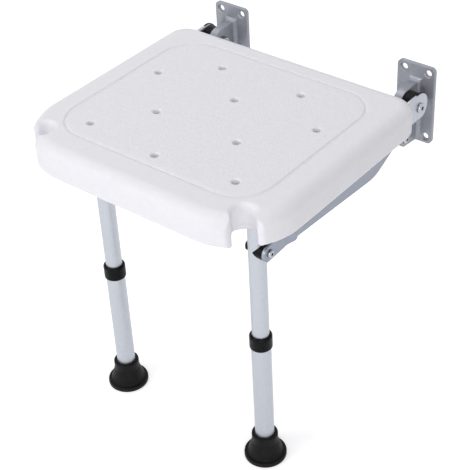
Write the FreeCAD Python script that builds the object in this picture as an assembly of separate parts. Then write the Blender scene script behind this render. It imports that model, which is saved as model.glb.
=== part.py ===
import FreeCAD, Part
import math
import os

from FreeCAD import Vector

# A folding seat that is screwed to a wall and stands on two telescopic front legs.
# X runs along the wall to the right, Y runs into the wall and Z is up.
# The origin lies on the wall, in the middle of the bolt pattern of the two brackets.
# All sizes are in millimetres. The model shows the seat folded down for use.

# Seat board, moulded from white plastic
seat_width = 382.0
seat_depth = 340.0
seat_thickness = 41.0
seat_top_height = 44.0
seat_wall_gap = 60.0
front_corner_radius = 85.0
rear_corner_radius = 30.0
top_edge_rounding = 16.0
bottom_edge_rounding = 4.0

# Groove that bounds the rough panel on top of the seat
groove_side_margin = 38.0
groove_rear_margin = 32.0
groove_front_margin = 43.0
groove_corner_radius = 48.0
groove_width = 4.2
groove_depth = 1.2

# Dimples in the panel that gather the water, in four rows
dimple_column_pitch = 62.0
dimple_row_distances = (72.5, 127.0, 202.0, 267.0)
dimple_front_sag = 10.0
dimple_front_spread = 1.8
dimple_radius = 5.2
dimple_depth = 8.5
dimple_rim_rounding = 2.0
dimple_floor_rounding = 3.0
dimple_taper = 1.2

# Open notch at each front corner
notch_radius = 14.0
notch_side_inset = 37.5
notch_front_inset = 33.5
notch_turn = 33.5
notch_lip_rounding = 7.0
notch_rim_rounding = 5.5
notch_pocket_wall = 7.0
notch_pocket_radius = 23.0
notch_pocket_height = 16.0

# Wells in the underside that take the frame and the folded legs
well_inner_margin = 88.0
well_outer_wall = 6.0
well_rear_wall = 15.0
well_corner_radius = 12.0

# Wall bracket, a casting
bracket_side_inset = 42.5
plate_width = 54.0
plate_height = 110.0
plate_thickness = 5.0
plate_corner_radius = 6.0
wall_hole_diameter = 9.0
wall_hole_side_inset = 9.5
wall_hole_end_inset = 9.0
countersink_depth = 1.5
rib_thickness = 11.0
rib_nose_radius = 18.5
rib_lobe_radius = 9.5
rib_waist = 14.0
rib_waist_radius = 11.0
rib_foot_gap = 2.0
rib_root_fillet = 6.0

# Pivots: the upper and lower ones on the bracket are as far apart as the two on the leg
pivot_wall_distance = 33.5
seat_pivot_height = 14.0
pivot_spread = 53.5
leg_wall_distance = 307.8
leg_pivot_height = -2.9
leg_side_inset = 68.2

# Seat frame
frame_tube_diameter = 25.4
frame_rear_flat = 5.5
frame_front_flat = 4.0
frame_rear_flat_length = 17.5
frame_front_flat_length = 14.0
frame_press_length = 34.0
bush_length = 13.3
bush_radius = 17.0
bush_rounding = 1.5
core_thickness = 2.3
core_rim = 0.6
cross_tube_diameter = 15.9
cross_tube_height = 20.0
cross_tube_distances = (125.0, 215.0)

# Lower link, a tube that is pressed flat but for a half-round bulge near the leg
link_diameter = 15.9
link_flat = 4.0
link_bulge_start = 33.0
link_bulge_length = 22.0
link_bulge_roundness = 0.6
link_knee_rise = 2.4
link_bend_distance = 86.0
link_bend_drop = 8.0
link_bend_radius = 45.0
link_washer_thickness = 1.0

# Telescopic legs
floor_depth = 400.0
tube_wall = 1.5
upper_leg_diameter = 22.2
lower_leg_diameter = 25.4
upper_leg_top = 9.0
upper_leg_bottom = -305.0
lower_leg_top = -195.0
spacer_radius = 11.0
inner_saddle_radius = 7.0
inner_saddle_thickness = 1.2
cap_insert = 7.0
cap_height = 1.6
collar_radius = 14.6
collar_length = 19.8
collar_lip = 5.7
collar_rounding = 1.5
collar_bevel = 2.5

# Height setting: a sprung button in one of a row of holes
button_height = -260.0
button_pitch = 12.7
button_hole_steps = 3
button_diameter = 7.4
button_hole_diameter = 8.0
button_reach = 2.4
button_dome = 1.4
button_flange = 1.0
spring_strip = 0.6
spring_width = 6.0
spring_length = 30.0

# Rubber foot
foot_flange_radius = 28.2
foot_flange_height = 6.5
foot_step_radius = 24.0
foot_cone_height = 27.0
foot_sleeve_radius = 17.4
foot_height = 40.0
foot_floor = 10.0
foot_rounding = 2.0
foot_hollow_radius = 21.0
foot_hollow_depth = 2.0

# Fasteners
seat_bolt_diameter = 8.0
seat_bolt_head_radius = 6.6
seat_bolt_head_height = 4.0
link_bolt_diameter = 6.0
link_bolt_head_radius = 5.2
link_bolt_head_height = 3.3
barrel_nut_diameter = 8.0
barrel_nut_length = 12.0
seat_screw_diameter = 4.5
seat_screw_bite = 11.0
seat_screw_head_radius = 4.6
seat_screw_head_height = 2.6
seat_screw_distances = (98.0, 238.0)
nut_bite = 2.0
nut_height_share = 0.8
nut_flat_share = 0.83
head_dome_share = 0.8
socket_radius_share = 0.33
socket_depth_share = 0.6

# Clearances between pieces that turn or slide on each other
turning_fit = 0.1
sliding_fit = 0.1
open_pivot_clearance = 0.4
side_play = 0.1
folding_clearance = 2.2
link_head_gap = 0.6

# How the shapes are made
press_steps = 4
bulge_steps = 8
overrun = 1.0
raised_by = 0.05
same_place = 1e-4

# Places that follow from the sizes above
seat_bottom_height = seat_top_height - seat_thickness
seat_rear = -seat_wall_gap
seat_front = seat_rear - seat_depth
bracket_x = seat_width / 2 - bracket_side_inset
rib_inner_x = bracket_x - rib_thickness / 2
rib_outer_x = bracket_x + rib_thickness / 2
frame_x = rib_outer_x + bush_length + 2 * side_play + frame_rear_flat / 2
leg_x = seat_width / 2 - leg_side_inset
upper_leg_radius = upper_leg_diameter / 2
lower_leg_radius = lower_leg_diameter / 2
link_outer_x = rib_inner_x - link_washer_thickness - side_play
link_flat_x = link_outer_x - link_flat / 2
link_head_x = link_outer_x + side_play
frame_flat_x = link_head_x + link_bolt_head_height + link_head_gap + frame_front_flat / 2
well_ceiling = seat_pivot_height + frame_tube_diameter / 2
foot_sole = -floor_depth

SEAT_PIVOT = Vector(frame_x, -pivot_wall_distance, seat_pivot_height)
LINK_REAR_PIVOT = Vector(link_flat_x, -pivot_wall_distance, seat_pivot_height - pivot_spread)
LEG_PIVOT = Vector(frame_flat_x, -leg_wall_distance, leg_pivot_height)
LINK_FRONT_PIVOT = Vector(link_flat_x, -leg_wall_distance, leg_pivot_height - pivot_spread)

RIGHT = Vector(1, 0, 0)
TO_WALL = Vector(0, 1, 0)
UP = Vector(0, 0, 1)


def at_x(point, x):
    """Return the point moved along X to the given place."""
    return Vector(x, point.y, point.z)


def at_height(point, z):
    """Return the point moved along Z to the given height."""
    return Vector(point.x, point.y, z)


def cylinder(radius, start, end):
    """Return a cylinder between two points."""
    return Part.makeCylinder(radius, (end - start).Length, start, end - start)


def rod_along_x(radius, point, x_start, x_end):
    """Return a cylinder along X through the point, between two places."""
    return cylinder(radius, at_x(point, x_start), at_x(point, x_end))


def box_between(low, high):
    """Return a box between two opposite corners."""
    size = high - low
    return Part.makeBox(size.x, size.y, size.z, low)


def rounded_outline(corners):
    """Return a closed wire; each corner is a point with the radius that rounds it."""
    arcs = []
    for index, (point, radius) in enumerate(corners):
        to_before = (corners[index - 1][0] - point).normalize()
        to_after = (corners[(index + 1) % len(corners)][0] - point).normalize()
        half_angle = to_before.getAngle(to_after) / 2
        reach = radius / math.tan(half_angle)
        inward = (to_before + to_after).normalize()
        middle = point + inward * (radius / math.sin(half_angle) - radius)
        arcs.append((point + to_before * reach, middle, point + to_after * reach))
    edges = []
    for index, (start, middle, end) in enumerate(arcs):
        previous_end = arcs[index - 1][2]
        if (start - previous_end).Length > same_place:
            edges.append(Part.LineSegment(previous_end, start).toShape())
        if (end - start).Length > same_place:
            edges.append(Part.Arc(start, middle, end).toShape())
    return Part.Wire(edges)


def rounded_rectangle(low, high, radius):
    """Return a level rounded rectangle between two opposite corners."""
    return rounded_outline([
        (Vector(low.x, low.y, low.z), radius),
        (Vector(high.x, low.y, low.z), radius),
        (Vector(high.x, high.y, low.z), radius),
        (Vector(low.x, high.y, low.z), radius),
    ])


def prism(outline, direction):
    """Return the solid that a closed wire sweeps along a straight direction."""
    return Part.Face(outline).extrude(direction)


def turned(outline, point, axis):
    """Return the solid of revolution of a closed wire."""
    return Part.Face(outline).revolve(point, axis, 360)


def edges_where(shape, test):
    """Return the edges whose every end and middle pass the test."""
    chosen = []
    for edge in shape.Edges:
        middle = edge.valueAt((edge.FirstParameter + edge.LastParameter) / 2)
        points = [vertex.Point for vertex in edge.Vertexes] + [middle]
        if all(test(point) for point in points):
            chosen.append(edge)
    return chosen


def edges_at_height(shape, height):
    """Return the level edges at one height."""
    return edges_where(shape, lambda point: abs(point.z - height) < same_place)


def mirrored(shape):
    """Return the left-hand copy of a right-hand piece."""
    return shape.mirror(Vector(0, 0, 0), RIGHT)


def seat_outline(height):
    """Return the outline of the seat board seen from above."""
    half = seat_width / 2
    return rounded_outline([
        (Vector(-half, seat_rear, height), rear_corner_radius),
        (Vector(half, seat_rear, height), rear_corner_radius),
        (Vector(half, seat_front, height), front_corner_radius),
        (Vector(-half, seat_front, height), front_corner_radius),
    ])


def notch_cutter():
    """Return the tool for the right-hand notch: a U with rounded lips and a flared upper rim."""
    turn = math.radians(notch_turn)
    outward = Vector(math.sin(turn), -math.cos(turn), 0)
    sideways = Vector(math.cos(turn), math.sin(turn), 0)
    low = seat_bottom_height - overrun
    base = Vector(seat_width / 2 - notch_side_inset, seat_front + notch_front_inset, low)
    corner = Vector(seat_width / 2 - front_corner_radius, seat_front + front_corner_radius, low)

    def place(along, across):
        return base + outward * along + sideways * across

    def lip(side):
        """Return the points of the arc from the U into the outline, and one along its tangent."""
        across = side * (notch_radius + notch_lip_rounding)
        aside = across - (corner - base).dot(sideways)
        reach = front_corner_radius - notch_lip_rounding
        along = (corner - base).dot(outward) + math.sqrt(reach * reach - aside * aside)
        center = place(along, across)
        to_start = sideways * -side
        to_end = (center - corner).normalize()
        to_middle = (to_start + to_end).normalize()
        end = center + to_end * notch_lip_rounding
        tangent = UP.cross(to_end) * side
        return [
            center + to_start * notch_lip_rounding, center + to_middle * notch_lip_rounding, end,
            end + tangent * notch_radius,
        ]

    left_start, left_middle, left_end, left_past = lip(-1)
    right_start, right_middle, right_end, right_past = lip(1)
    beyond = outward * 2 * notch_radius
    outline = Part.Wire([
        Part.Arc(place(0, notch_radius), place(-notch_radius, 0), place(0, -notch_radius)).toShape(),
        Part.LineSegment(place(0, -notch_radius), left_start).toShape(),
        Part.Arc(left_start, left_middle, left_end).toShape(),
        Part.LineSegment(left_end, left_past).toShape(),
        Part.LineSegment(left_past, left_past + beyond).toShape(),
        Part.LineSegment(left_past + beyond, right_past + beyond).toShape(),
        Part.LineSegment(right_past + beyond, right_past).toShape(),
        Part.LineSegment(right_past, right_end).toShape(),
        Part.Arc(right_end, right_middle, right_start).toShape(),
        Part.LineSegment(right_start, place(0, notch_radius)).toShape(),
    ])
    slot = prism(outline, UP * (seat_thickness + overrun + raised_by))
    rim_height = seat_top_height + raised_by
    margin = 2 * (notch_radius + notch_front_inset)
    slab = box_between(
        Vector(base.x - margin, base.y - margin, rim_height),
        Vector(base.x + margin, base.y + margin, rim_height + overrun),
    )
    tool = slot.fuse(slab).removeSplitter()
    rim = edges_where(
        tool,
        lambda point: abs(point.z - rim_height) < same_place
        and max(abs(point.x - base.x), abs(point.y - base.y)) < margin - same_place,
    )
    return tool.makeFillet(notch_rim_rounding, rim)


def notch_pocket_cutter():
    """Return the tool that thins the board from below round the right-hand notch, inside the skirt."""
    low = seat_bottom_height - overrun
    center = Vector(seat_width / 2 - notch_side_inset, seat_front + notch_front_inset, low)
    corner = Vector(seat_width / 2 - front_corner_radius, seat_front + front_corner_radius, low)
    around = cylinder(notch_pocket_radius, center, at_height(center, notch_pocket_height))
    inside = cylinder(
        front_corner_radius - notch_pocket_wall, corner, at_height(corner, notch_pocket_height),
    )
    return around.common(inside)


def groove_cutter():
    """Return the tool for the groove round the rough panel, a rod bent along its outline."""
    half = seat_width / 2 - groove_side_margin
    radius = (groove_depth * groove_depth + groove_width * groove_width / 4) / (2 * groove_depth)
    height = seat_top_height + radius - groove_depth
    low = Vector(-half, seat_front + groove_front_margin, height)
    high = Vector(half, seat_rear - groove_rear_margin, height)
    path = rounded_rectangle(low, high, groove_corner_radius)
    start = path.Edges[0].valueAt(path.Edges[0].FirstParameter)
    direction = path.Edges[0].tangentAt(path.Edges[0].FirstParameter)
    section = Part.Wire(Part.makeCircle(radius, start, direction))
    return path.makePipeShell([section], True, True)


def dimple_places():
    """Return the middles of the dimples on the top of the seat."""
    rear, middle, front, last = [seat_rear - distance for distance in dimple_row_distances]
    pitch = dimple_column_pitch
    spread = pitch * dimple_front_spread
    return [
        Vector(-pitch, rear, 0), Vector(pitch, rear, 0),
        Vector(-2 * pitch, middle, 0), Vector(0, middle, 0), Vector(2 * pitch, middle, 0),
        Vector(-pitch, front, 0), Vector(pitch, front, 0),
        Vector(-spread, last, 0), Vector(0, last - dimple_front_sag, 0), Vector(spread, last, 0),
    ]


def dimple_cutter(place):
    """Return the tool for one dimple, with a soft rim and a bowl-shaped floor."""
    top = seat_top_height + raised_by
    floor = seat_top_height - dimple_depth
    rim = dimple_radius + 2 * dimple_rim_rounding

    def at(radius, height):
        return Vector(place.x + radius, place.y, height)

    outline = rounded_outline([
        (at(0, top + 1), 0),
        (at(rim, top + 1), 0),
        (at(rim, top), 0),
        (at(dimple_radius, top), dimple_rim_rounding),
        (at(dimple_radius - dimple_taper, floor), dimple_floor_rounding),
        (at(0, floor), 0),
    ])
    return turned(outline, place, UP)


def well_cutter():
    """Return the tool for the right-hand well in the underside and its openings to the rear."""
    flat_radius = flattened_height(frame_tube_diameter, frame_front_flat) / 2
    below = seat_bottom_height - 1
    inner = well_inner_x()
    outer = seat_width / 2 - well_outer_wall
    front = -leg_wall_distance - flat_radius - folding_clearance
    rear = seat_rear - well_rear_wall
    outline = rounded_rectangle(Vector(inner, front, below), Vector(outer, rear, below), well_corner_radius)
    well = prism(outline, UP * (well_ceiling - below))
    arch_radius = frame_tube_diameter / 2 + folding_clearance
    arch_top = seat_pivot_height + flattened_height(frame_tube_diameter, frame_rear_flat) / 2
    arch_height = arch_top - arch_radius
    overlap = well_corner_radius
    arch_start = Vector(frame_x, rear - overlap, arch_height)
    arch_end = Vector(frame_x, seat_rear + 1, arch_height)
    arch = cylinder(arch_radius, arch_start, arch_end)
    arch_sides = box_between(
        Vector(frame_x - arch_radius, rear - overlap, below),
        Vector(frame_x + arch_radius, seat_rear + 1, arch_height),
    )
    return well.fuse([arch, arch_sides])


def well_inner_x():
    """Return the place of the inner wall of the right-hand well."""
    return seat_width / 2 - well_inner_margin


def cross_channel_cutter(distance):
    """Return the tool for the channel in the underside over one cross tube."""
    radius = cross_tube_diameter / 2 + side_play
    reach = frame_x
    center = Vector(0, -distance, cross_tube_height)
    round_top = rod_along_x(radius, center, -reach, reach)
    sides = box_between(
        Vector(-reach, center.y - radius, seat_bottom_height - 1),
        Vector(reach, center.y + radius, cross_tube_height),
    )
    return round_top.fuse(sides)


def seat_screw_places():
    """Return the places of the screws on the right-hand side, level with the well's ceiling."""
    return [Vector(frame_x, -distance, well_ceiling) for distance in seat_screw_distances]


def seat_board():
    """Return the moulded seat board."""
    board = prism(seat_outline(seat_bottom_height), UP * seat_thickness)
    board = board.makeFillet(top_edge_rounding, edges_at_height(board, seat_top_height))
    board = board.makeFillet(bottom_edge_rounding, edges_at_height(board, seat_bottom_height))
    cutters = [groove_cutter()]
    for cutter in (notch_cutter(), notch_pocket_cutter(), well_cutter()):
        cutters += [cutter, mirrored(cutter)]
    cutters += [dimple_cutter(place) for place in dimple_places()]
    cutters += [cross_channel_cutter(distance) for distance in cross_tube_distances]
    for place in seat_screw_places():
        pilot = cylinder(seat_screw_diameter / 2, place - UP, place + UP * seat_screw_bite)
        cutters += [pilot, mirrored(pilot)]
    return board.cut(cutters)


def flattened_height(diameter, thickness):
    """Return the height of a round tube that is pressed to the given thickness."""
    return thickness + math.pi * (diameter - thickness) / 2


def curve_through(start, middle, end):
    """Return the arc through three points, or the straight line where they are in line."""
    bulge = (middle - start).cross(end - start).Length / (end - start).Length
    if bulge < same_place:
        return Part.LineSegment(start, end).toShape()
    return Part.Arc(start, middle, end).toShape()


def tube_section(center, along, diameter, flat, roundness):
    """Return the outline across a tube as two side curves and two end arcs that meet smoothly.

    A roundness of 1 gives the circle of the tube. A roundness of 0 gives the oval that it is
    pressed to, with straight sides the given flat thickness apart.
    """
    upward = RIGHT.cross(along)
    flat_height = flattened_height(diameter, flat)
    half_thickness = (flat + (diameter - flat) * roundness) / 2
    half_height = (flat_height + (diameter - flat_height) * roundness) / 2
    turn = math.pi / 4 * roundness
    end_radius = half_thickness
    if roundness:
        drawn_in = half_height * (1 - math.cos(turn)) - half_thickness * math.sin(turn)
        end_radius = drawn_in / (1 - math.sin(turn) - math.cos(turn))
    joint = end_radius * math.cos(turn)
    rise = half_height - end_radius * (1 - math.sin(turn))

    def at(across, up):
        return center + RIGHT * across + upward * up

    return Part.Wire([
        curve_through(at(joint, -rise), at(half_thickness, 0), at(joint, rise)),
        curve_through(at(joint, rise), at(0, half_height), at(-joint, rise)),
        curve_through(at(-joint, rise), at(-half_thickness, 0), at(-joint, -rise)),
        curve_through(at(-joint, -rise), at(0, -half_height), at(joint, -rise)),
    ])


def pressed_stretch(round_center, flat_center, along, diameter, flat):
    """Return the stretch of tube between its round part and its flat end."""
    travel = flat_center - round_center
    forward = along * travel.dot(along)
    sideways = travel - forward
    sections = []
    for step in range(press_steps + 1):
        share = step / press_steps
        ease = share * share * (3 - 2 * share)
        center = round_center + forward * share + sideways * ease
        sections.append(tube_section(center, along, diameter, flat, 1 - ease))
    return Part.makeLoft(sections, True, False)


def flat_end(path, pivot, along, diameter, flat, bore):
    """Return a flat end of a tube that follows a path to its pivot, rounded and bored there."""
    upward = RIGHT.cross(along)
    radius = flattened_height(diameter, flat) / 2
    first = path.Edges[0]
    start = first.valueAt(first.FirstParameter)
    section = tube_section(start, first.tangentAt(first.FirstParameter), diameter, flat, 0)
    end = path.makePipeShell([section], True, True)
    corner = RIGHT * flat + upward * 2 * radius
    square = Part.makePolygon([
        pivot + corner, pivot + corner - RIGHT * 2 * flat,
        pivot - corner, pivot - corner + RIGHT * 2 * flat, pivot + corner,
    ])
    beyond = prism(square, along * 2 * radius)
    disc = rod_along_x(radius, pivot, pivot.x - 2 * flat, pivot.x + 2 * flat)
    return end.cut([beyond.cut(disc), rod_along_x(bore / 2, pivot, pivot.x - flat, pivot.x + flat)])


def straight_flat_end(length, pivot, along, diameter, flat, bore):
    """Return a straight flat end that starts one length before its pivot."""
    radius = flattened_height(diameter, flat) / 2
    line = Part.LineSegment(pivot - along * length, pivot + along * radius).toShape()
    return flat_end(Part.Wire(line), pivot, along, diameter, flat, bore)


def frame_tube():
    """Return the right-hand side tube of the seat frame, with a flat end at each pivot."""
    rear_flat = SEAT_PIVOT - TO_WALL * frame_rear_flat_length
    rear_round = rear_flat - TO_WALL * frame_press_length
    front_flat = LEG_PIVOT + TO_WALL * frame_front_flat_length
    front_round = Vector(frame_x, front_flat.y + frame_press_length, seat_pivot_height)
    section = tube_section(front_round, TO_WALL, frame_tube_diameter, frame_rear_flat, 1)
    tube = prism(section, rear_round - front_round).fuse([
        pressed_stretch(rear_round, rear_flat, TO_WALL, frame_tube_diameter, frame_rear_flat),
        pressed_stretch(front_round, front_flat, -TO_WALL, frame_tube_diameter, frame_front_flat),
        straight_flat_end(
            frame_rear_flat_length, SEAT_PIVOT, TO_WALL, frame_tube_diameter, frame_rear_flat,
            seat_bolt_diameter + 2 * turning_fit,
        ),
        straight_flat_end(
            frame_front_flat_length, LEG_PIVOT, -TO_WALL, frame_tube_diameter, frame_front_flat,
            link_bolt_diameter + 2 * turning_fit,
        ),
    ])
    tube = tube.cut(core_disc(0))
    for place in seat_screw_places():
        hole = cylinder(seat_screw_diameter / 2, place - UP * (frame_tube_diameter + 1), place + UP)
        tube = tube.cut(hole)
    return tube


def core_disc(bore):
    """Return the disc between the two walls of the flat rear end; without a bore it is the slot."""
    radius = flattened_height(frame_tube_diameter, frame_rear_flat) / 2 + core_rim
    low = frame_x - core_thickness / 2
    high = frame_x + core_thickness / 2
    disc = rod_along_x(radius, SEAT_PIVOT, low, high)
    if bore:
        disc = disc.cut(rod_along_x(bore / 2, SEAT_PIVOT, low - 1, high + 1))
    return disc


def cross_tube(distance):
    """Return one cross tube, with its ends shaped to the side tubes."""
    center = Vector(0, -distance, cross_tube_height)
    tube = rod_along_x(cross_tube_diameter / 2, center, -frame_x, frame_x)
    tube = tube.cut(rod_along_x(cross_tube_diameter / 2 - tube_wall, center, -frame_x, frame_x))
    for side in (-frame_x, frame_x):
        start = Vector(side, center.y - cross_tube_diameter, seat_pivot_height)
        end = Vector(side, center.y + cross_tube_diameter, seat_pivot_height)
        tube = tube.cut(cylinder(frame_tube_diameter / 2, start, end))
    return tube


def seat_screw(place):
    """Return one screw that holds the seat to the frame from below."""
    under = place - UP * frame_tube_diameter
    shank = cylinder(seat_screw_diameter / 2, under, place + UP * (seat_screw_bite - side_play))
    head = cylinder(seat_screw_head_radius, under - UP * seat_screw_head_height, under)
    low_edges = edges_at_height(head, (under - UP * seat_screw_head_height).z)
    head = head.makeFillet(seat_screw_head_height / 2, low_edges)
    return shank.fuse(head)


def link_bulge(start, knee, end):
    """Return the stretch of the link that is pressed less on its outer side and bends a little."""
    sections = []
    for step in range(bulge_steps + 1):
        share = step / bulge_steps
        roundness = link_bulge_roundness * (4 * share * (1 - share)) ** 2
        on_start = start + (knee - start) * share
        on_end = knee + (end - knee) * share
        outward = RIGHT * (link_diameter - link_flat) * roundness / 2
        center = on_start + (on_end - on_start) * share + outward
        along = (on_end - on_start).normalize()
        sections.append(tube_section(center, along, link_diameter, link_flat, roundness))
    return Part.makeLoft(sections, True, False)


def lower_link():
    """Return the right-hand lower link, which runs from the leg to a bend and up to the bracket."""
    knee_distance = link_bulge_start + link_bulge_length / 2
    knee = LINK_FRONT_PIVOT + TO_WALL * knee_distance + UP * link_knee_rise
    bend = Vector(link_flat_x, -link_bend_distance, LINK_FRONT_PIVOT.z - link_bend_drop)
    to_knee = (knee - LINK_FRONT_PIVOT).normalize()
    to_bend = (bend - knee).normalize()
    upward = (LINK_REAR_PIVOT - bend).normalize()
    bulge_start = knee - to_knee * link_bulge_length / 2
    bulge_end = knee + to_bend * link_bulge_length / 2
    half_turn = to_bend.getAngle(upward) / 2
    reach = link_bend_radius * math.tan(half_turn)
    inward = (upward - to_bend).normalize()
    bend_middle = bend + inward * (link_bend_radius / math.cos(half_turn) - link_bend_radius)
    end = LINK_REAR_PIVOT + upward * flattened_height(link_diameter, link_flat) / 2
    rear_path = Part.Wire([
        Part.LineSegment(bulge_end, bend - to_bend * reach).toShape(),
        Part.Arc(bend - to_bend * reach, bend_middle, bend + upward * reach).toShape(),
        Part.LineSegment(bend + upward * reach, end).toShape(),
    ])
    return link_bulge(bulge_start, knee, bulge_end).fuse([
        flat_end(
            rear_path, LINK_REAR_PIVOT, upward, link_diameter, link_flat,
            link_bolt_diameter + 2 * turning_fit,
        ),
        straight_flat_end(
            (bulge_start - LINK_FRONT_PIVOT).Length, LINK_FRONT_PIVOT, -to_knee,
            link_diameter, link_flat, link_bolt_diameter + 2 * open_pivot_clearance,
        ),
    ])


def rib_outline():
    """Return the side view of the bracket's rib, which carries the seat pivot and the link pivot."""
    nose = -pivot_wall_distance - rib_nose_radius
    nose_top = seat_pivot_height + rib_nose_radius
    nose_bottom = seat_pivot_height - rib_nose_radius
    lobe = -pivot_wall_distance - rib_lobe_radius
    lobe_top = LINK_REAR_PIVOT.z + rib_lobe_radius
    lobe_bottom = LINK_REAR_PIVOT.z - rib_lobe_radius
    inside_plate = -plate_thickness / 2
    foot = -plate_height / 2 + rib_foot_gap

    def at(y, z):
        return Vector(rib_inner_x, y, z)

    return rounded_outline([
        (at(inside_plate, nose_top), 0),
        (at(nose, nose_top), rib_nose_radius),
        (at(nose, nose_bottom), rib_nose_radius),
        (at(-rib_waist, nose_bottom), rib_waist_radius),
        (at(-rib_waist, lobe_top), rib_waist_radius),
        (at(lobe, lobe_top), rib_lobe_radius),
        (at(lobe, lobe_bottom), rib_lobe_radius),
        (at(-plate_thickness, foot), 0),
        (at(inside_plate, foot), 0),
    ])


def wall_bracket():
    """Return the right-hand bracket: a plate with four holes and a rib with two pivot bores."""
    half_width = plate_width / 2
    half_height = plate_height / 2
    plate = prism(rounded_outline([
        (Vector(bracket_x - half_width, 0, -half_height), plate_corner_radius),
        (Vector(bracket_x + half_width, 0, -half_height), plate_corner_radius),
        (Vector(bracket_x + half_width, 0, half_height), plate_corner_radius),
        (Vector(bracket_x - half_width, 0, half_height), plate_corner_radius),
    ]), -TO_WALL * plate_thickness)
    rib = prism(rib_outline(), RIGHT * rib_thickness)
    bracket = plate.fuse(rib).removeSplitter()
    foot = -half_height + rib_foot_gap
    root = edges_where(
        bracket,
        lambda point: abs(point.y + plate_thickness) < same_place
        and abs(point.x - bracket_x) < rib_thickness / 2 + same_place
        and point.z > foot - same_place,
    )
    root = [edge for edge in root if edge.BoundBox.ZMax > foot + same_place]
    bracket = bracket.makeFillet(rib_root_fillet, root)
    hole_radius = wall_hole_diameter / 2
    for side in (-1, 1):
        for end in (-1, 1):
            x = bracket_x + side * (half_width - wall_hole_side_inset)
            z = end * (half_height - wall_hole_end_inset)
            front = Vector(x, -plate_thickness, z)
            bracket = bracket.cut(cylinder(hole_radius, front, Vector(x, 0, z)))
            sink = Part.makeCone(
                hole_radius + countersink_depth, hole_radius, countersink_depth, front, TO_WALL,
            )
            bracket = bracket.cut(sink)
    bores = ((SEAT_PIVOT, seat_bolt_diameter), (LINK_REAR_PIVOT, link_bolt_diameter))
    for pivot, diameter in bores:
        bore = rod_along_x(diameter / 2, pivot, rib_inner_x - 1, rib_outer_x + 1)
        bracket = bracket.cut(bore)
    return bracket


def seat_pivot_bush():
    """Return the bush between the rib and the flat end of the frame tube."""
    start = rib_outer_x
    end = start + bush_length
    bush = rod_along_x(bush_radius, SEAT_PIVOT, start, end)
    bush = bush.makeFillet(bush_rounding, [edge for edge in bush.Edges if edge.Closed])
    return bush.cut(rod_along_x(seat_bolt_diameter / 2, SEAT_PIVOT, start - 1, end + 1))


def hex_prism(radius, point, x_start, x_end):
    """Return a six-sided prism along X; the radius reaches to its flats."""
    corner = radius / math.cos(math.pi / 6)
    points = []
    for index in range(7):
        angle = math.pi / 3 * index
        offset = Vector(0, corner * math.cos(angle), corner * math.sin(angle))
        points.append(at_x(point, x_start) + offset)
    return prism(Part.makePolygon(points), RIGHT * (x_end - x_start))


def button_head(point, x_face, x_top, head_radius, socket_radius):
    """Return a domed screw head with a six-sided socket."""
    height = abs(x_top - x_face)
    head = rod_along_x(head_radius, point, x_face, x_top)
    top_edges = edges_where(head, lambda place: abs(place.x - x_top) < same_place)
    head = head.makeFillet(head_dome_share * height, top_edges)
    socket_floor = x_top + socket_depth_share * (x_face - x_top)
    beyond = x_top + (x_top - x_face)
    return head.cut(hex_prism(socket_radius, point, socket_floor, beyond))


def pivot_bolt(pivot, x_head, x_tip, diameter, head_radius, head_height):
    """Return a button-head bolt; the head faces away from the tip."""
    outward = math.copysign(1, x_head - x_tip)
    socket_radius = socket_radius_share * diameter
    head = button_head(pivot, x_head, x_head + outward * head_height, head_radius, socket_radius)
    return head.fuse(rod_along_x(diameter / 2, pivot, x_tip, x_head))


def hex_nut(pivot, x_face, diameter):
    """Return a hexagon nut against a face, on its inner side."""
    height = nut_height_share * diameter
    flat = nut_flat_share * diameter
    nut = hex_prism(flat, pivot, x_face - height, x_face)
    corner = flat / math.cos(math.pi / 6)
    rounding = rod_along_x(corner, pivot, x_face - height, x_face)
    rounding = rounding.makeChamfer(
        corner - flat, edges_where(rounding, lambda place: abs(place.x - x_face) > same_place),
    )
    nut = nut.common(rounding)
    return nut.cut(rod_along_x(diameter / 2, pivot, x_face - height - 1, x_face + 1))


def washer(pivot, x_start, x_end, inner_diameter, outer_radius):
    """Return a flat washer along X."""
    ring = rod_along_x(outer_radius, pivot, x_start, x_end)
    return ring.cut(rod_along_x(inner_diameter / 2, pivot, x_start - 1, x_end + 1))


def seat_pivot_fasteners():
    """Return the bolt and the nut of the right-hand seat pivot."""
    head_face = frame_x + frame_rear_flat / 2 + side_play
    nut_height = nut_height_share * seat_bolt_diameter
    bolt = pivot_bolt(
        SEAT_PIVOT, head_face, rib_inner_x - nut_height - nut_bite,
        seat_bolt_diameter, seat_bolt_head_radius, seat_bolt_head_height,
    )
    return bolt, hex_nut(SEAT_PIVOT, rib_inner_x, seat_bolt_diameter)


def link_pivot_fasteners():
    """Return the bolt, the nut and the washer of the pivot behind the right-hand link."""
    nut_face = link_outer_x - link_flat - side_play
    nut_height = nut_height_share * link_bolt_diameter
    bolt = pivot_bolt(
        LINK_REAR_PIVOT, rib_outer_x, nut_face - nut_height - nut_bite,
        link_bolt_diameter, link_bolt_head_radius, link_bolt_head_height,
    )
    ring = washer(
        LINK_REAR_PIVOT, rib_inner_x - link_washer_thickness, rib_inner_x,
        link_bolt_diameter, flattened_height(link_diameter, link_flat) / 2,
    )
    return bolt, hex_nut(LINK_REAR_PIVOT, nut_face, link_bolt_diameter), ring


def leg_tube(radius, bottom, top):
    """Return a tube of the right-hand leg."""
    outer = cylinder(radius, Vector(leg_x, -leg_wall_distance, bottom), Vector(leg_x, -leg_wall_distance, top))
    inner = cylinder(
        radius - tube_wall,
        Vector(leg_x, -leg_wall_distance, bottom - 1), Vector(leg_x, -leg_wall_distance, top + 1),
    )
    return outer.cut(inner)


def leg_pivots():
    """Return the two pivots on the right-hand leg, with the outer face of what turns on each."""
    frame_face = frame_flat_x + frame_front_flat / 2 + side_play
    return [(LINK_FRONT_PIVOT, link_head_x), (LEG_PIVOT, frame_face)]


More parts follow.
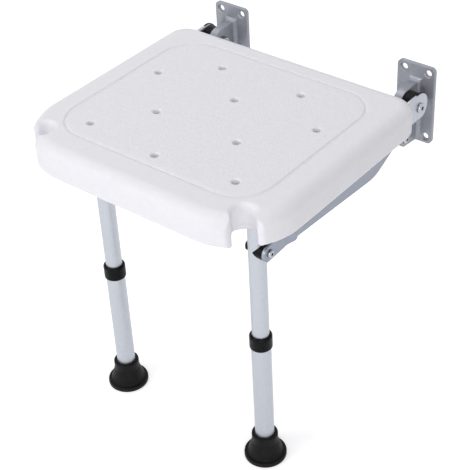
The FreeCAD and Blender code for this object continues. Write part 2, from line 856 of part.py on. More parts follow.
def upper_leg_tube():
    """Return the upper tube of the right-hand leg, with its bolt holes and button hole."""
    tube = leg_tube(upper_leg_radius, upper_leg_bottom, upper_leg_top)
    for pivot, _ in leg_pivots():
        outer_hole = rod_along_x(link_bolt_diameter / 2, pivot, leg_x, leg_x + upper_leg_diameter)
        inner_hole = rod_along_x(barrel_nut_diameter / 2, pivot, leg_x - upper_leg_diameter, leg_x)
        tube = tube.cut([outer_hole, inner_hole])
    return tube.cut(button_rod(button_diameter / 2 + turning_fit, 0, upper_leg_diameter))


def button_rod(radius, start, end, height=button_height):
    """Return a cylinder along Y through a button hole of the right-hand leg."""
    axis = Vector(leg_x, -leg_wall_distance, height)
    return cylinder(radius, axis + TO_WALL * start, axis + TO_WALL * end)


def lower_leg_tube():
    """Return the lower tube of the right-hand leg, with its row of button holes."""
    bore = upper_leg_radius + sliding_fit
    bottom = foot_sole + foot_floor
    base = Vector(leg_x, -leg_wall_distance, bottom)
    tube = cylinder(lower_leg_radius, base, Vector(base.x, base.y, lower_leg_top))
    tube = tube.cut(cylinder(bore, base - UP, Vector(base.x, base.y, lower_leg_top + 1)))
    for step in range(-button_hole_steps, button_hole_steps + 1):
        height = button_height + step * button_pitch
        tube = tube.cut(button_rod(button_hole_diameter / 2, 0, lower_leg_diameter, height))
    return tube


def leg_collar():
    """Return the collar on top of the lower tube, which guides the upper tube."""
    top = lower_leg_top + collar_lip
    bottom = top - collar_length
    bore = upper_leg_radius + open_pivot_clearance

    def at(radius, height):
        return Vector(leg_x + radius, -leg_wall_distance, height)

    outline = rounded_outline([
        (at(bore, top), 0),
        (at(bore, lower_leg_top), 0),
        (at(lower_leg_radius, lower_leg_top), 0),
        (at(lower_leg_radius, bottom), 0),
        (at(collar_radius, bottom), collar_rounding / 2),
        (at(collar_radius, top - collar_bevel), collar_rounding),
        (at(collar_radius - collar_rounding, top), collar_rounding / 2),
    ])
    return turned(outline, at(0, 0), UP)


def leg_top_cap():
    """Return the plug in the top of the upper tube."""
    inner = upper_leg_radius - tube_wall
    low = upper_leg_top - cap_insert
    high = upper_leg_top + cap_height

    def at(radius, height):
        return Vector(leg_x + radius, -leg_wall_distance, height)

    outline = rounded_outline([
        (at(0, low), 0),
        (at(inner, low), 0),
        (at(inner, upper_leg_top), 0),
        (at(upper_leg_radius, upper_leg_top), 0),
        (at(upper_leg_radius, high), cap_height / 2),
        (at(0, high), 0),
    ])
    return turned(outline, at(0, 0), UP)


def saddle(pivot, x_face, radius, bore):
    """Return a spacer that fits the leg tube on one side and has a flat face on the other."""
    piece = rod_along_x(radius, pivot, leg_x, x_face)
    axis = at_x(pivot, leg_x)
    tube = cylinder(upper_leg_radius, axis - UP * upper_leg_diameter, axis + UP * upper_leg_diameter)
    return piece.cut(tube).cut(rod_along_x(bore / 2, pivot, leg_x, x_face + (x_face - leg_x)))


def outer_spacers():
    """Return the spacers between the right-hand leg and the link, and the leg and the frame."""
    link_face = link_outer_x - link_flat - side_play
    frame_face = frame_flat_x - frame_front_flat / 2 - side_play
    return [
        saddle(pivot, face, spacer_radius, link_bolt_diameter)
        for pivot, face in ((LINK_FRONT_PIVOT, link_face), (LEG_PIVOT, frame_face))
    ]


def inner_face_x():
    """Return the face of the thin saddles on the inner side of the right-hand leg."""
    return leg_x - upper_leg_radius - inner_saddle_thickness


def inner_saddles():
    """Return the thin saddles under the nuts on the inner side of the right-hand leg."""
    return [
        saddle(pivot, inner_face_x(), inner_saddle_radius, barrel_nut_diameter)
        for pivot, _ in leg_pivots()
    ]


def leg_bolts():
    """Return the two pivot bolts of the right-hand leg."""
    tip = inner_face_x() + nut_bite
    return [
        pivot_bolt(pivot, face, tip, link_bolt_diameter, link_bolt_head_radius, link_bolt_head_height)
        for pivot, face in leg_pivots()
    ]


def barrel_nuts():
    """Return the two barrel nuts of the right-hand leg."""
    face = inner_face_x()
    nuts = []
    for pivot, _ in leg_pivots():
        head = button_head(
            pivot, face, face - link_bolt_head_height, link_bolt_head_radius,
            socket_radius_share * link_bolt_diameter,
        )
        sleeve = rod_along_x(barrel_nut_diameter / 2, pivot, face, face + barrel_nut_length)
        bore = rod_along_x(link_bolt_diameter / 2, pivot, face + nut_bite, face + barrel_nut_length + 1)
        nuts.append(head.fuse(sleeve).cut(bore))
    return nuts


def spring_places():
    """Return the rear and front faces of the two arms of the spring inside the upper tube."""
    half_width = spring_width / 2
    inner = upper_leg_radius - tube_wall
    wall = math.sqrt(inner * inner - half_width * half_width) - side_play
    flange_back = wall - button_flange
    return wall, flange_back


def snap_button():
    """Return the button with its flange and the sprung arm that carries it."""
    wall, flange_back = spring_places()
    tip = lower_leg_radius + button_reach
    button = button_rod(button_diameter / 2, flange_back, tip)
    dome_edges = edges_where(
        button, lambda point: abs(point.y + leg_wall_distance - tip) < same_place,
    )
    button = button.makeFillet(button_dome, dome_edges)
    axis = Vector(leg_x, -leg_wall_distance, button_height)
    arm = box_between(
        axis + Vector(-spring_width / 2, flange_back - spring_strip, -spring_length),
        axis + Vector(spring_width / 2, flange_back, spring_width / 2),
    )
    flange = box_between(
        axis + Vector(-spring_width / 2, flange_back, -spring_width / 2),
        axis + Vector(spring_width / 2, wall, spring_width / 2),
    )
    return button.fuse([arm, flange])


def spring_clip():
    """Return the fixed arm of the spring with the bend at its foot."""
    wall, flange_back = spring_places()
    rear_face = flange_back
    front_face = -wall
    bend_radius = (rear_face - front_face) / 2
    middle = (rear_face + front_face) / 2
    axis = Vector(leg_x, -leg_wall_distance + middle, button_height - spring_length - side_play)
    bend = cylinder(bend_radius, axis - RIGHT * spring_width / 2, axis + RIGHT * spring_width / 2)
    hollow = cylinder(bend_radius - spring_strip, axis - RIGHT * spring_width, axis + RIGHT * spring_width)
    above = box_between(
        axis + Vector(-spring_width, -bend_radius - 1, 0),
        axis + Vector(spring_width, bend_radius + 1, bend_radius + 1),
    )
    arm = box_between(
        axis + Vector(-spring_width / 2, -bend_radius, 0),
        axis + Vector(spring_width / 2, -bend_radius + spring_strip, spring_length),
    )
    return bend.cut([hollow, above]).fuse(arm)


def rubber_foot():
    """Return the rubber foot of the right-hand leg: a flange, a cone and a sleeve."""
    base = foot_sole
    hollow = base + foot_hollow_depth

    def at(radius, height):
        return Vector(leg_x + radius, -leg_wall_distance, height)

    outline = rounded_outline([
        (at(0, hollow), 0),
        (at(foot_hollow_radius, hollow), 0),
        (at(foot_hollow_radius + foot_hollow_depth, base), 0),
        (at(foot_flange_radius, base), foot_rounding / 2),
        (at(foot_flange_radius, base + foot_flange_height), foot_rounding),
        (at(foot_step_radius, base + foot_flange_height), foot_rounding / 2),
        (at(foot_sleeve_radius, base + foot_cone_height), foot_rounding),
        (at(foot_sleeve_radius, base + foot_height), foot_rounding),
        (at(lower_leg_radius, base + foot_height), 0),
        (at(lower_leg_radius, base + foot_floor), 0),
        (at(0, base + foot_floor), 0),
    ])
    return turned(outline, at(0, 0), UP)


def pair(shapes):
    """Return the right-hand pieces and their left-hand copies as one group of solids."""
    return Part.makeCompound(list(shapes) + [mirrored(shape) for shape in shapes])


def write(name, shape):
    """Write one piece to its own file."""
    shape.exportStep(os.path.join("parts", name + ".step"))


def write_both(name, shape):
    """Write a right-hand piece and its left-hand copy."""
    write("right_" + name, shape)
    write("left_" + name, mirrored(shape))


def main():
    """Build every piece and write it."""
    os.makedirs("parts", exist_ok=True)
    write("seat_board", seat_board())
    write("rear_cross_tube", cross_tube(cross_tube_distances[0]))
    write("front_cross_tube", cross_tube(cross_tube_distances[1]))
    write("seat_screws", pair([seat_screw(place) for place in seat_screw_places()]))
    write_both("frame_tube", frame_tube())
    write_both("tube_end_core", core_disc(seat_bolt_diameter + 2 * turning_fit))
    write_both("lower_link", lower_link())

    write_both("wall_bracket", wall_bracket())
    write_both("seat_pivot_bush", seat_pivot_bush())
    seat_bolt, seat_nut = seat_pivot_fasteners()
    write("seat_pivot_bolts", pair([seat_bolt]))
    write("seat_pivot_nuts", pair([seat_nut]))
    link_bolt, link_nut, link_washer = link_pivot_fasteners()
    write("link_pivot_bolts", pair([link_bolt]))
    write("link_pivot_nuts", pair([link_nut]))
    write("link_pivot_washers", pair([link_washer]))

    link_spacer, frame_spacer = outer_spacers()
    write_both("upper_leg_tube", upper_leg_tube())
    write_both("leg_top_cap", leg_top_cap())
    write_both("link_spacer", link_spacer)
    write_both("frame_spacer", frame_spacer)
    write_both("inner_saddles", Part.makeCompound(inner_saddles()))
    write_both("leg_bolts", Part.makeCompound(leg_bolts()))
    write_both("leg_barrel_nuts", Part.makeCompound(barrel_nuts()))
    write_both("spring_clip", spring_clip())
    write_both("snap_button", snap_button())

    write_both("lower_leg_tube", lower_leg_tube())
    write_both("leg_collar", leg_collar())
    write_both("rubber_foot", rubber_foot())


main()
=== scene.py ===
"""The look of a fold-down wall seat: a white moulded board on aluminium tubes and cast brackets."""

import logging
import math
from dataclasses import dataclass, field
from enum import Enum

import bmesh
import bpy
from mathutils import Matrix, Vector

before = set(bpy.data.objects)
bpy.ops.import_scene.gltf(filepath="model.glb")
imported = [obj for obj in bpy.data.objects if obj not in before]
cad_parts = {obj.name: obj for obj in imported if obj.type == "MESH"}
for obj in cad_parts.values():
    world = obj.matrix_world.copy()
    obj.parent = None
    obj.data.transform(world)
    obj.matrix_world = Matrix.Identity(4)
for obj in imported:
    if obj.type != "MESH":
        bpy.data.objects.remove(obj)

LOG = logging.getLogger("wall_seat")
MILLIMETRE = 0.001
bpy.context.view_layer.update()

# The sRGB curve: straight below its knee and a power above it.
SRGB_KNEE = 0.04045
SRGB_SLOPE = 12.92
SRGB_OFFSET = 0.055
SRGB_POWER = 2.4

# Sockets of the Mix node, which has one pair for values and one for colours.
VALUE_A, VALUE_B = 2, 3
COLOUR_A, COLOUR_B = 6, 7
COLOUR_RESULT = 2


class Side(Enum):
    """The two sides of the seat, seen from the front; the value starts the names of its pieces."""

    LEFT = "left"
    RIGHT = "right"

    def node(self, name: str) -> str:
        """Return the name of this side's copy of a piece."""
        return f"{self.value}_{name}"


class DrawnAlong(Enum):
    """The way a tube's drawing lines run; the value is the axis."""

    ACROSS = 0
    FRONT_TO_BACK = 1
    UPRIGHT = 2


def linear_colour(hex_colour: str) -> tuple[float, float, float, float]:
    """Turn an sRGB hex colour into linear values.

    Args:
        hex_colour: Six hex digits after a number sign.

    Returns:
        Red, green, blue and an alpha of 1.
    """
    channels = []
    for start in (1, 3, 5):
        value = int(hex_colour[start:start + 2], 16) / 255
        if value <= SRGB_KNEE:
            channels.append(value / SRGB_SLOPE)
        else:
            channels.append(((value + SRGB_OFFSET) / (1 + SRGB_OFFSET)) ** SRGB_POWER)
    return (channels[0], channels[1], channels[2], 1.0)


def per_metre(size_mm: float) -> float:
    """Return the texture scale that gives one cell of the given size."""
    return 1 / (size_mm * MILLIMETRE)


def add_node(
    tree: bpy.types.NodeTree,
    kind: str,
    settings: dict | None = None,
    links: dict | None = None,
) -> bpy.types.Node:
    """Add one node to a tree.

    Args:
        tree: The node tree.
        kind: The node's type.
        settings: Values for its own properties, or for its inputs by name or number.
        links: Sockets of other nodes that feed its inputs, by name or number.

    Returns:
        The new node.
    """
    node = tree.nodes.new(kind)
    for name, value in (settings or {}).items():
        if isinstance(name, int) or name in node.inputs:
            node.inputs[name].default_value = value
        else:
            setattr(node, name, value)
    for name, source in (links or {}).items():
        tree.links.new(source, node.inputs[name])
    return node


@dataclass(frozen=True)
class Finish:
    """A finish: what a surface is made of and how it was made.

    Each finish starts from an empty material and adds its own colour and relief to one shader.
    """

    title: str = ""
    colour: str = "#808080"
    shade: str = "#707070"
    roughness: float = 0.5
    metallic: float = 0.0
    gloss: float = 0.5
    edge_mm: float = 0.4
    edge_samples: int = 4
    patch_mm: float = 5.0
    patch_share: float = 0.5
    patch_detail: float = 3.0
    patch_from: float = 0.35
    patch_to: float = 0.65
    relief_mm: float = 0.05
    relief_strength: float = 0.3
    grain_mm: float = 0.5
    grain_detail: float = 2.0
    # Painted shade: how far it reaches, how dark it is and how it fades in recesses.
    recess_shade_mm: float = 0.0
    recess_shade_colour: str = "#202020"
    recess_shade_samples: int = 6
    recess_shade_from: float = 0.3
    recess_shade_to: float = 0.95

    def start(self) -> tuple[bpy.types.Material, bpy.types.NodeTree, bpy.types.Node, bpy.types.Node]:
        """Make the material.

        Returns:
            The material, its tree, its shader and the place on the object.
        """
        material = bpy.data.materials.new(self.title)
        material.use_nodes = True
        tree = material.node_tree
        tree.nodes.clear()
        shader = add_node(tree, "ShaderNodeBsdfPrincipled", {
            "Base Color": linear_colour(self.colour),
            "Roughness": self.roughness,
            "Metallic": self.metallic,
            "Specular IOR Level": self.gloss,
        })
        add_node(tree, "ShaderNodeOutputMaterial", links={"Surface": shader.outputs["BSDF"]})
        place = add_node(tree, "ShaderNodeTexCoord")
        return material, tree, shader, place

    def mottle(self, tree: bpy.types.NodeTree, shader: bpy.types.Node, place: bpy.types.Node) -> None:
        """Vary the colour softly between the main colour and the shade.

        Args:
            tree: The node tree.
            shader: The shader that takes the colour.
            place: The node that gives the place on the object.
        """
        noise = add_node(tree, "ShaderNodeTexNoise", {
            "Scale": per_metre(self.patch_mm), "Detail": self.patch_detail,
        }, {"Vector": place.outputs["Object"]})
        share = add_node(tree, "ShaderNodeMapRange", {
            "From Min": self.patch_from, "From Max": self.patch_to, "To Max": self.patch_share,
        }, {"Value": noise.outputs["Fac"]})
        colour = add_node(tree, "ShaderNodeMix", {
            "data_type": "RGBA", COLOUR_A: linear_colour(self.colour), COLOUR_B: linear_colour(self.shade),
        }, {0: share.outputs["Result"]})
        tree.links.new(colour.outputs[COLOUR_RESULT], shader.inputs["Base Color"])

    def relief(
        self, tree: bpy.types.NodeTree, shader: bpy.types.Node, height: bpy.types.NodeSocket,
    ) -> None:
        """Round the edges a little and give the surface its fine relief.

        Args:
            tree: The node tree.
            shader: The shader that takes the relief.
            height: The socket that gives the height.
        """
        edge = add_node(tree, "ShaderNodeBevel", {
            "samples": self.edge_samples, "Radius": self.edge_mm * MILLIMETRE,
        })
        bump = add_node(tree, "ShaderNodeBump", {
            "Strength": self.relief_strength, "Distance": self.relief_mm * MILLIMETRE,
        }, {"Height": height, "Normal": edge.outputs["Normal"]})
        tree.links.new(bump.outputs["Normal"], shader.inputs["Normal"])

    def paint_recess_shade(self, tree: bpy.types.NodeTree, shader: bpy.types.Node) -> None:
        """Darken the colour in sockets and corners, found by ambient occlusion: this is painted shade.

        Args:
            tree: The node tree.
            shader: The shader whose colour is darkened.
        """
        unshaded_colour = shader.inputs["Base Color"].links[0].from_socket
        # Ambient occlusion finds the recesses, where the colour is darkened as painted shade.
        recess_occlusion = add_node(tree, "ShaderNodeAmbientOcclusion", {
            "samples": self.recess_shade_samples, "Distance": self.recess_shade_mm * MILLIMETRE,
        })
        share = add_node(tree, "ShaderNodeMapRange", {
            "From Min": self.recess_shade_from, "From Max": self.recess_shade_to,
        }, {"Value": recess_occlusion.outputs["AO"]})
        colour = add_node(tree, "ShaderNodeMix", {
            "data_type": "RGBA", COLOUR_A: linear_colour(self.recess_shade_colour),
        }, {0: share.outputs["Result"], COLOUR_B: unshaded_colour})
        tree.links.new(colour.outputs[COLOUR_RESULT], shader.inputs["Base Color"])

    def grained(self) -> bpy.types.Material:
        """Make a material with soft patches, a fine grain, and painted shade in its recesses where it has
        them.

        Returns:
            The material.
        """
        material, tree, shader, place = self.start()
        self.mottle(tree, shader, place)
        if self.recess_shade_mm:
            self.paint_recess_shade(tree, shader)
        grain = add_node(tree, "ShaderNodeTexNoise", {
            "Scale": per_metre(self.grain_mm), "Detail": self.grain_detail,
        }, {"Vector": place.outputs["Object"]})
        self.relief(tree, shader, grain.outputs["Fac"])
        return material

    def material(self) -> bpy.types.Material:
        """Return the finished material."""
        raise NotImplementedError


@dataclass(frozen=True)
class BlowMouldedPolyethylene(Finish):
    """White high-density polyethylene, blown into a mould with a pebbled panel on the seat."""

    title: str = "blow_moulded_polyethylene"
    colour: str = "#e9e8ed"
    shade: str = "#e4e3e9"
    roughness: float = 0.48
    gloss: float = 0.35
    edge_mm: float = 2.0
    patch_mm: float = 6.0
    relief_mm: float = 0.9
    relief_strength: float = 0.45
    soft_share: float = 0.2
    soft_radius: tuple[float, float, float] = (0.004, 0.004, 0.0045)
    soft_scale: float = 0.5
    pebble_mm: float = 2.6
    pebble_smoothness: float = 0.6
    skin_mm: float = 1.6
    skin_share: float = 0.05
    # The panel's outline on the seat, in metres.
    panel_half_width: float = 0.153
    panel_rear: float = -0.092
    panel_front: float = -0.357
    panel_corner: float = 0.048
    panel_border: float = 0.003

    def panel_mask(self, tree: bpy.types.NodeTree, place: bpy.types.Node) -> bpy.types.NodeSocket:
        """Mark the inside of the panel's rounded outline.

        Args:
            tree: The node tree.
            place: The node that gives the place on the object.

        Returns:
            A socket that is 1 inside the panel and 0 outside.
        """
        middle = (self.panel_rear + self.panel_front) / 2
        half_depth = (self.panel_rear - self.panel_front) / 2
        split = add_node(tree, "ShaderNodeSeparateXYZ", links={0: place.outputs["Object"]})
        across = add_node(tree, "ShaderNodeMath", {"operation": "ABSOLUTE"}, {0: split.outputs["X"]})
        along = add_node(tree, "ShaderNodeMath", {"operation": "SUBTRACT", 1: middle},
                         {0: split.outputs["Y"]})
        along = add_node(tree, "ShaderNodeMath", {"operation": "ABSOLUTE"}, {0: along.outputs[0]})
        squares = []
        for half, source in ((self.panel_half_width, across), (half_depth, along)):
            past = add_node(tree, "ShaderNodeMath", {"operation": "SUBTRACT", 1: half - self.panel_corner},
                            {0: source.outputs[0]})
            past = add_node(tree, "ShaderNodeMath", {"operation": "MAXIMUM", 1: 0.0}, {0: past.outputs[0]})
            squares.append(add_node(tree, "ShaderNodeMath", {"operation": "POWER", 1: 2.0},
                                    {0: past.outputs[0]}))
        total = add_node(tree, "ShaderNodeMath", {"operation": "ADD"},
                         {0: squares[0].outputs[0], 1: squares[1].outputs[0]})
        distance = add_node(tree, "ShaderNodeMath", {"operation": "SQRT"}, {0: total.outputs[0]})
        mask = add_node(tree, "ShaderNodeMapRange", {
            "From Min": self.panel_corner - self.panel_border,
            "From Max": self.panel_corner - 2 * self.panel_border,
        }, {"Value": distance.outputs[0]})
        return mask.outputs["Result"]

    def material(self) -> bpy.types.Material:
        """Return the finished material."""
        # Thick, slightly waxy plastic: light goes in a little, the gloss is broad and soft, the
        # panel is pebbled for grip and the rest has the faint ripple of a blown skin.
        material, tree, shader, place = self.start()
        shader.inputs["Subsurface Weight"].default_value = self.soft_share
        shader.inputs["Subsurface Radius"].default_value = self.soft_radius
        shader.inputs["Subsurface Scale"].default_value = self.soft_scale
        self.mottle(tree, shader, place)
        pebbles = add_node(tree, "ShaderNodeTexVoronoi", {
            "feature": "SMOOTH_F1", "Scale": per_metre(self.pebble_mm), "Smoothness": self.pebble_smoothness,
        }, {"Vector": place.outputs["Object"]})
        skin = add_node(tree, "ShaderNodeTexNoise", {
            "Scale": per_metre(self.skin_mm), "Detail": self.grain_detail,
        }, {"Vector": place.outputs["Object"]})
        skin_height = add_node(tree, "ShaderNodeMath", {"operation": "MULTIPLY", 1: self.skin_share},
                               {0: skin.outputs["Fac"]})
        height = add_node(tree, "ShaderNodeMix", links={
            0: self.panel_mask(tree, place),
            VALUE_A: skin_height.outputs[0],
            VALUE_B: pebbles.outputs["Distance"],
        })
        self.relief(tree, shader, height.outputs[0])
        return material


@dataclass(frozen=True)
class AnodisedAluminium(Finish):
    """Drawn aluminium tube, matt anodised."""

    title: str = "anodised_aluminium"
    colour: str = "#bcc0c7"
    shade: str = "#b3b8c0"
    roughness: float = 0.42
    metallic: float = 1.0
    patch_share: float = 0.4
    relief_strength: float = 0.15
    streak_mm: float = 0.9
    streak_stretch: float = 60.0
    streak_from: float = 0.3
    streak_to: float = 0.7
    smoother: float = 0.04
    rougher: float = 0.05
    along: DrawnAlong = DrawnAlong.UPRIGHT

    def material(self) -> bpy.types.Material:
        """Return the finished material."""
        # Etched and anodised: a pale satin metal with faint drawing lines along the tube and
        # hardly any sharp reflection. The lines are wider than real ones, or they would not show.
        material, tree, shader, place = self.start()
        self.mottle(tree, shader, place)
        scale = [1.0, 1.0, 1.0]
        scale[self.along.value] = 1 / self.streak_stretch
        stretch = add_node(tree, "ShaderNodeMapping", {"Scale": Vector(scale)},
                           {"Vector": place.outputs["Object"]})
        lines = add_node(tree, "ShaderNodeTexNoise", {
            "Scale": per_metre(self.streak_mm), "Detail": self.grain_detail,
        }, {"Vector": stretch.outputs["Vector"]})
        rough = add_node(tree, "ShaderNodeMapRange", {
            "From Min": self.streak_from,
            "From Max": self.streak_to,
            "To Min": self.roughness - self.smoother,
            "To Max": self.roughness + self.rougher,
        }, {"Value": lines.outputs["Fac"]})
        tree.links.new(rough.outputs["Result"], shader.inputs["Roughness"])
        self.relief(tree, shader, lines.outputs["Fac"])
        return material


@dataclass(frozen=True)
class PaintedCasting(Finish):
    """Die-cast aluminium bracket, painted silver grey."""

    title: str = "painted_casting"
    colour: str = "#9fa2aa"
    shade: str = "#93969f"
    roughness: float = 0.42
    metallic: float = 0.45
    edge_mm: float = 1.6
    patch_mm: float = 4.0
    patch_share: float = 0.7
    relief_mm: float = 0.08
    relief_strength: float = 0.35
    grain_mm: float = 1.2
    # Painted shade in the corners and fillets: its reach and its dark grey.
    recess_shade_mm: float = 4.0
    recess_shade_colour: str = "#74777e"

    def material(self) -> bpy.types.Material:
        """Return the finished material."""
        # Silver paint over a casting: half metal and half paint to the eye, with a soft gloss,
        # painted shade that darkens the corners, and the slight orange peel that the paint leaves.
        return self.grained()


@dataclass(frozen=True)
class MouldedNylon(Finish):
    """Black glass-filled nylon, injection moulded with a fine spark-eroded texture."""

    title: str = "moulded_nylon"
    colour: str = "#08080b"
    shade: str = "#0f0f13"
    roughness: float = 0.36
    gloss: float = 0.1
    patch_share: float = 0.6

    def material(self) -> bpy.types.Material:
        """Return the finished material."""
        # Hard black plastic: nearly black, with a satin sheen broken by a very fine grain, which
        # is coarser here than the real one, or it would not show.
        return self.grained()


@dataclass(frozen=True)
class MouldedRubber(Finish):
    """Black rubber of the feet, compression moulded."""

    title: str = "moulded_rubber"
    colour: str = "#0a0a0c"
    shade: str = "#131315"
    roughness: float = 0.5
    gloss: float = 0.14
    edge_mm: float = 0.8
    patch_mm: float = 7.0
    patch_share: float = 0.9
    relief_mm: float = 0.06
    relief_strength: float = 0.4
    grain_mm: float = 0.7
    grain_detail: float = 3.0

    def material(self) -> bpy.types.Material:
        """Return the finished material."""
        # Soft matt black with a wide dull sheen, a little dustier in patches; its grain is
        # coarser here than the real one.
        return self.grained()


@dataclass(frozen=True)
class PlatedSteel(Finish):
    """Zinc-plated or chromed steel of the screws, bolts and buttons."""

    title: str = "plated_steel"
    colour: str = "#b9bcc1"
    shade: str = "#a3a6ac"
    roughness: float = 0.18
    metallic: float = 1.0
    patch_mm: float = 3.0
    patch_share: float = 0.7
    relief_mm: float = 0.03
    relief_strength: float = 0.2
    grain_mm: float = 0.6
    # Painted shade in the sockets: its reach and its near-black.
    recess_shade_mm: float = 2.5
    recess_shade_colour: str = "#1c1c20"

    def material(self) -> bpy.types.Material:
        """Return the finished material."""
        # Bright plating over turned steel: clear highlights with a slight unevenness, and painted
        # shade that darkens the sockets.
        return self.grained()


@dataclass(frozen=True)
class StudioFloor(Finish):
    """Matt white paper that the seat stands on."""

    title: str = "studio_floor"
    colour: str = "#f4f4f5"
    shade: str = "#f0f0f1"
    roughness: float = 0.9
    patch_mm: float = 40.0
    lift: float = 0.42

    def material(self) -> bpy.types.Material:
        """Return the finished material."""
        # Plain paper, lifted to white where the camera or a mirror sees it; shadows stay.
        material, tree, shader, place = self.start()
        self.mottle(tree, shader, place)
        seen = ray_seen(tree)
        level = add_node(tree, "ShaderNodeMath", {"operation": "MULTIPLY", 1: self.lift}, {0: seen})
        glow = add_node(tree, "ShaderNodeEmission", {"Color": (1, 1, 1, 1)}, {"Strength": level.outputs[0]})
        both = add_node(tree, "ShaderNodeAddShader", links={0: shader.outputs["BSDF"], 1: glow.outputs[0]})
        output = next(node for node in tree.nodes if node.type == "OUTPUT_MATERIAL")
        tree.links.new(both.outputs[0], output.inputs["Surface"])
        return material


def ray_seen(tree: bpy.types.NodeTree) -> bpy.types.NodeSocket:
    """Mark the rays that show the background.

    Args:
        tree: The node tree.

    Returns:
        A socket that is 1 for camera, glossy and transmission rays.
    """
    path = add_node(tree, "ShaderNodeLightPath")
    first = add_node(tree, "ShaderNodeMath", {"operation": "MAXIMUM"},
                     {0: path.outputs["Is Camera Ray"], 1: path.outputs["Is Glossy Ray"]})
    both = add_node(tree, "ShaderNodeMath", {"operation": "MAXIMUM"},
                    {0: first.outputs[0], 1: path.outputs["Is Transmission Ray"]})
    return both.outputs[0]


def dress(names: list[str], material: bpy.types.Material) -> list[str]:
    """Put a material on CAD nodes.

    Args:
        names: The nodes.
        material: The material for every slot of each.

    Returns:
        The names, for the report.
    """
    for name in names:
        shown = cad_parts[name]
        if not shown.material_slots:
            shown.data.materials.append(material)
        for slot in shown.material_slots:
            slot.material = material
    return names


@dataclass
class SeatBoard:
    """The moulded board that one sits on."""

    finish: Finish = field(default_factory=BlowMouldedPolyethylene)

    def build(self) -> list[str]:
        """Dress the board and return its piece names."""
        return dress(["seat_board"], self.finish.material())


@dataclass
class SeatFrame:
    """The tubes, cores and screws under the board."""

    tube: Finish = field(default_factory=lambda: AnodisedAluminium(
        title="anodised_frame_tube", along=DrawnAlong.FRONT_TO_BACK))
    cross_tube: Finish = field(default_factory=lambda: AnodisedAluminium(
        title="anodised_cross_tube", along=DrawnAlong.ACROSS))
    core: Finish = field(default_factory=lambda: MouldedNylon(title="nylon_core"))
    screw: Finish = field(default_factory=lambda: PlatedSteel(title="plated_screw"))

    def build(self) -> list[str]:
        """Dress the frame and return its piece names."""
        names = dress([side.node("frame_tube") for side in Side], self.tube.material())
        names += dress(["rear_cross_tube", "front_cross_tube"], self.cross_tube.material())
        names += dress([side.node("tube_end_core") for side in Side], self.core.material())
        return names + dress(["seat_screws"], self.screw.material())


@dataclass
class WallBrackets:
    """The two cast brackets with their bushes, bolts and nuts."""

    casting: Finish = field(default_factory=PaintedCasting)
    bush: Finish = field(default_factory=lambda: MouldedNylon(title="nylon_bush"))
    fastener: Finish = field(default_factory=lambda: PlatedSteel(title="plated_pivot_bolt"))

    def build(self) -> list[str]:
        """Dress the brackets and return their piece names."""
        names = dress([side.node("wall_bracket") for side in Side], self.casting.material())
        black = self.bush.material()
        names += dress([side.node("seat_pivot_bush") for side in Side], black)
        names += dress(["link_pivot_washers"], black)
        bolts = ["seat_pivot_bolts", "seat_pivot_nuts", "link_pivot_bolts", "link_pivot_nuts"]
        return names + dress(bolts, self.fastener.material())


@dataclass
class LowerLinks:
    """The thin tubes between the brackets and the legs."""

    # The link's colour and second tone are darker than the legs': painted shade for a tube that lies in
    # shade under the board.
    tube: Finish = field(default_factory=lambda: AnodisedAluminium(
        title="anodised_link_painted_shade", colour="#979ca8", shade="#8d939f", along=DrawnAlong.FRONT_TO_BACK))

    def build(self) -> list[str]:
        """Dress the links and return their piece names."""
        return dress([side.node("lower_link") for side in Side], self.tube.material())


@dataclass
class TelescopicLegs:
    """The legs with their spacers, buttons, collars and feet."""

    tube: Finish = field(default_factory=lambda: AnodisedAluminium(title="anodised_leg"))
    plastic: Finish = field(default_factory=lambda: MouldedNylon(title="nylon_leg_parts"))
    rubber: Finish = field(default_factory=MouldedRubber)
    fastener: Finish = field(default_factory=lambda: PlatedSteel(title="plated_leg_bolt"))
    spring: Finish = field(default_factory=lambda: PlatedSteel(
        title="spring_steel", colour="#9fa1a4", shade="#8d8f93", roughness=0.35))

    def build(self) -> list[str]:
        """Dress the legs and return their piece names."""
        groups = (
            (("upper_leg_tube", "lower_leg_tube"), self.tube),
            (("leg_top_cap", "link_spacer", "frame_spacer", "inner_saddles", "leg_collar"), self.plastic),
            (("rubber_foot",), self.rubber),
            (("leg_bolts", "leg_barrel_nuts", "snap_button"), self.fastener),
            (("spring_clip",), self.spring),
        )
        names = []
        for pieces, finish in groups:
            material = finish.material()
            names += dress([side.node(piece) for side in Side for piece in pieces], material)
        return names


@dataclass
class PhotoCamera:
    """The camera, at the place and angle of the reference view."""

    azimuth: float = 39.96
    elevation: float = 36.71
    roll: float = -3.14
    place: Vector = field(default_factory=lambda: Vector((0.8550, -1.2205, 0.8363)))
    lens_mm: float = 96.24
    sensor_mm: float = 36.0
    farthest: float = 50.0

    def build(self) -> list[str]:
        """Make the camera and return its name."""
        turn = math.radians(self.azimuth)
        lift = math.radians(self.elevation)
        roll = math.radians(self.roll)
        back = Vector((math.sin(turn) * math.cos(lift), -math.cos(turn) * math.cos(lift), math.sin(lift)))
        right = Vector((math.cos(turn), math.sin(turn), 0))
        up = back.cross(right)
        rolled_right = right * math.cos(roll) + up * math.sin(roll)
        rolled_up = up * math.cos(roll) - right * math.sin(roll)
        camera = bpy.data.cameras.new("photo_camera")
        camera.lens = self.lens_mm
        camera.sensor_width = self.sensor_mm
        camera.sensor_fit = "HORIZONTAL"
        camera.clip_end = self.farthest
        shown = bpy.data.objects.new("photo_camera", camera)
        bpy.context.scene.collection.objects.link(shown)
        axes = Matrix((rolled_right, rolled_up, back)).transposed().to_4x4()
        shown.matrix_world = Matrix.Translation(self.place) @ axes
        bpy.context.scene.camera = shown
        return ["photo_camera"]


@dataclass(frozen=True)
class Lamp:
    """One soft square lamp: its name, its place and side in metres, and its power in watts."""

    name: str
    place: tuple[float, float, float]
    size: float
    power: float


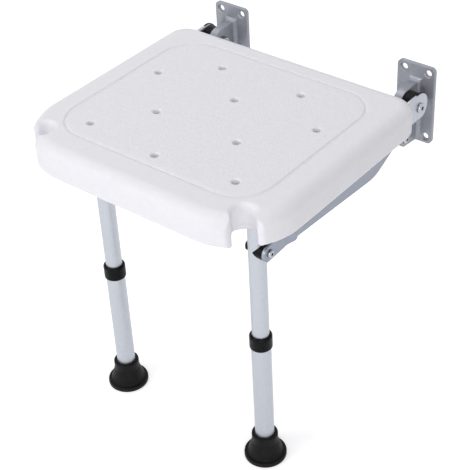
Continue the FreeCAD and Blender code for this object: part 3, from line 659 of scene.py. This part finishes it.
@dataclass
class Studio:
    """The floor, the world and the soft lamps."""

    floor_height: float = -0.4
    floor_half: float = 6.0
    ambient: float = 0.55
    aim: Vector = field(default_factory=lambda: Vector((0.0, -0.2, -0.05)))
    floor_finish: Finish = field(default_factory=StudioFloor)
    lamps: tuple[Lamp, ...] = (
        Lamp("key_lamp", (-0.8, -2.3, 0.9), 1.2, 16.5),
        Lamp("fill_lamp", (1.4, -1.8, 0.5), 1.0, 10.0),
        Lamp("top_lamp", (-0.6, 0.2, 1.9), 1.4, 10.0),
    )

    def add_floor(self) -> None:
        """Make the floor as one quad."""
        shape = bmesh.new()
        corners = [
            shape.verts.new((x * self.floor_half, y * self.floor_half, self.floor_height))
            for x, y in ((-1, -1), (1, -1), (1, 1), (-1, 1))
        ]
        shape.faces.new(corners)
        mesh = bpy.data.meshes.new("studio_floor")
        shape.to_mesh(mesh)
        shape.free()
        mesh.materials.append(self.floor_finish.material())
        floor = bpy.data.objects.new("studio_floor", mesh)
        bpy.context.scene.collection.objects.link(floor)

    def add_world(self) -> None:
        """Make the world: white where it is seen and soft grey as light."""
        world = bpy.data.worlds.new("studio_world")
        world.use_nodes = True
        tree = world.node_tree
        tree.nodes.clear()
        level = add_node(tree, "ShaderNodeMapRange", {"To Min": self.ambient, "To Max": 1.0},
                         {"Value": ray_seen(tree)})
        sky = add_node(tree, "ShaderNodeBackground", {"Color": (1, 1, 1, 1)},
                       {"Strength": level.outputs["Result"]})
        add_node(tree, "ShaderNodeOutputWorld", links={"Surface": sky.outputs[0]})
        bpy.context.scene.world = world

    def add_lamp(self, lamp: Lamp) -> str:
        """Hang one lamp that faces the seat.

        Args:
            lamp: The lamp.

        Returns:
            Its name.
        """
        light = bpy.data.lights.new(lamp.name, "AREA")
        light.shape = "SQUARE"
        light.size = lamp.size
        light.energy = lamp.power
        shown = bpy.data.objects.new(lamp.name, light)
        bpy.context.scene.collection.objects.link(shown)
        place = Vector(lamp.place)
        shown.location = place
        shown.rotation_euler = (self.aim - place).to_track_quat("-Z", "Y").to_euler()
        return lamp.name

    def build(self) -> list[str]:
        """Make the studio and return its piece names."""
        self.add_floor()
        self.add_world()
        return ["studio_floor", "studio_world"] + [self.add_lamp(lamp) for lamp in self.lamps]


def main() -> None:
    """Build the whole scene and report each piece."""
    logging.basicConfig(level=logging.INFO, format="%(name)s: %(message)s")
    for assembly in (
        SeatBoard(), SeatFrame(), WallBrackets(), LowerLinks(), TelescopicLegs(), PhotoCamera(), Studio(),
    ):
        for name in assembly.build():
            LOG.info("%s: %s", type(assembly).__name__, name)
    bpy.context.scene.view_settings.view_transform = "Standard"


if __name__ == "__main__":
    main()
